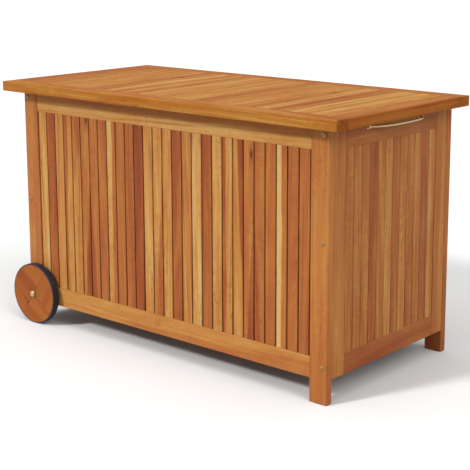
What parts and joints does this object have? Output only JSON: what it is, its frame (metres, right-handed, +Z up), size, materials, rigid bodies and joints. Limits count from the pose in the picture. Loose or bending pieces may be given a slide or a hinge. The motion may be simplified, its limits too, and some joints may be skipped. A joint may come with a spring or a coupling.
{
  "type": "deck storage box",
  "caption": "Slatted hardwood deck storage box with a hinged lid, wooden wheels with rubber tyres at one end and a metal bow handle at the other.",
  "frame": {"origin": "on the ground, at the middle of the whole object's footprint", "axes": "+X along the length from the wheels to the handle, +Y from the front to the hinged back, +Z up; the lid is shut at rest"},
  "size_m": [1, 0.514, 0.595],
  "materials": {
    "frame_wood": "oiled acacia, satin",
    "slat_wood": "oiled acacia of mixed tone, satin",
    "lid_wood": "oiled acacia, satin",
    "floor_wood": "planed acacia, thinly oiled",
    "wheel_wood": "oiled reddish acacia, satin",
    "tyre_rubber": "black rubber",
    "zinc_screws": "yellow zinc-plated steel; the colour is a guess",
    "zinc_steel": "zinc-plated steel",
    "satin_brass": "pale satin brass",
    "nylon": "natural nylon"
  },
  "bodies": {
    "box": {"front_left_leg": "frame_wood", "front_right_leg": "frame_wood", "back_left_leg": "frame_wood", "back_right_leg": "frame_wood", "front_top_rail": "frame_wood", "front_bottom_rail": "frame_wood", "back_top_rail": "frame_wood", "back_bottom_rail": "frame_wood", "left_top_rail": "frame_wood", "left_bottom_rail": "frame_wood", "right_top_rail": "frame_wood", "right_bottom_rail": "frame_wood", "left_front_stile": "frame_wood", "left_back_stile": "frame_wood", "right_front_stile": "frame_wood", "right_back_stile": "frame_wood", "rail_dowels": "frame_wood", "front_slats": "slat_wood", "back_slats": "slat_wood", "left_slats": "slat_wood", "right_slats": "slat_wood", "floor_boards": "floor_wood", "floor_bearer_front": "floor_wood", "floor_bearer_back": "floor_wood", "leg_screws": "zinc_screws", "floor_screws": "zinc_screws", "bearer_screws": "zinc_screws", "handle_screws": "zinc_screws", "hinge_box_screws": "zinc_steel", "left_hinge_box_leaf": "zinc_steel", "right_hinge_box_leaf": "zinc_steel", "left_hinge_pin": "zinc_steel", "right_hinge_pin": "zinc_steel", "axle": "zinc_steel", "axle_caps": "satin_brass", "axle_spacers": "nylon", "axle_washers": "zinc_steel", "handle": "satin_brass"},
    "lid": {"lid_front_rail": "lid_wood", "lid_back_rail": "lid_wood", "lid_left_end_board": "lid_wood", "lid_right_end_board": "lid_wood", "lid_slats": "lid_wood", "lid_batten": "lid_wood", "hinge_lid_screws": "zinc_steel", "lid_batten_screws": "zinc_screws", "left_hinge_lid_leaf": "zinc_steel", "right_hinge_lid_leaf": "zinc_steel"},
    "front_wheel": {"front_wheel_segment_1": "wheel_wood", "front_wheel_segment_2": "wheel_wood", "front_wheel_segment_3": "wheel_wood", "front_wheel_segment_4": "wheel_wood", "front_tyre": "tyre_rubber", "front_bush": "nylon"},
    "back_wheel": {"back_wheel_segment_1": "wheel_wood", "back_wheel_segment_2": "wheel_wood", "back_wheel_segment_3": "wheel_wood", "back_wheel_segment_4": "wheel_wood", "back_tyre": "tyre_rubber", "back_bush": "nylon"}
  },
  "joints": [
    {"name": "lid_hinge", "type": "hinge", "parent": "box", "child": "lid", "pos_m": [0, 0.2295, 0.57175], "axis": [-1, 0, 0], "range_deg": [0, 97]},
    {"name": "front_wheel_spin", "type": "hinge", "parent": "box", "child": "front_wheel", "pos_m": [-0.425, -0.238, 0.0745], "axis": [0, 1, 0], "continuous": true},
    {"name": "back_wheel_spin", "type": "hinge", "parent": "box", "child": "back_wheel", "pos_m": [-0.425, 0.242, 0.0745], "axis": [0, 1, 0], "continuous": true}
  ]
}
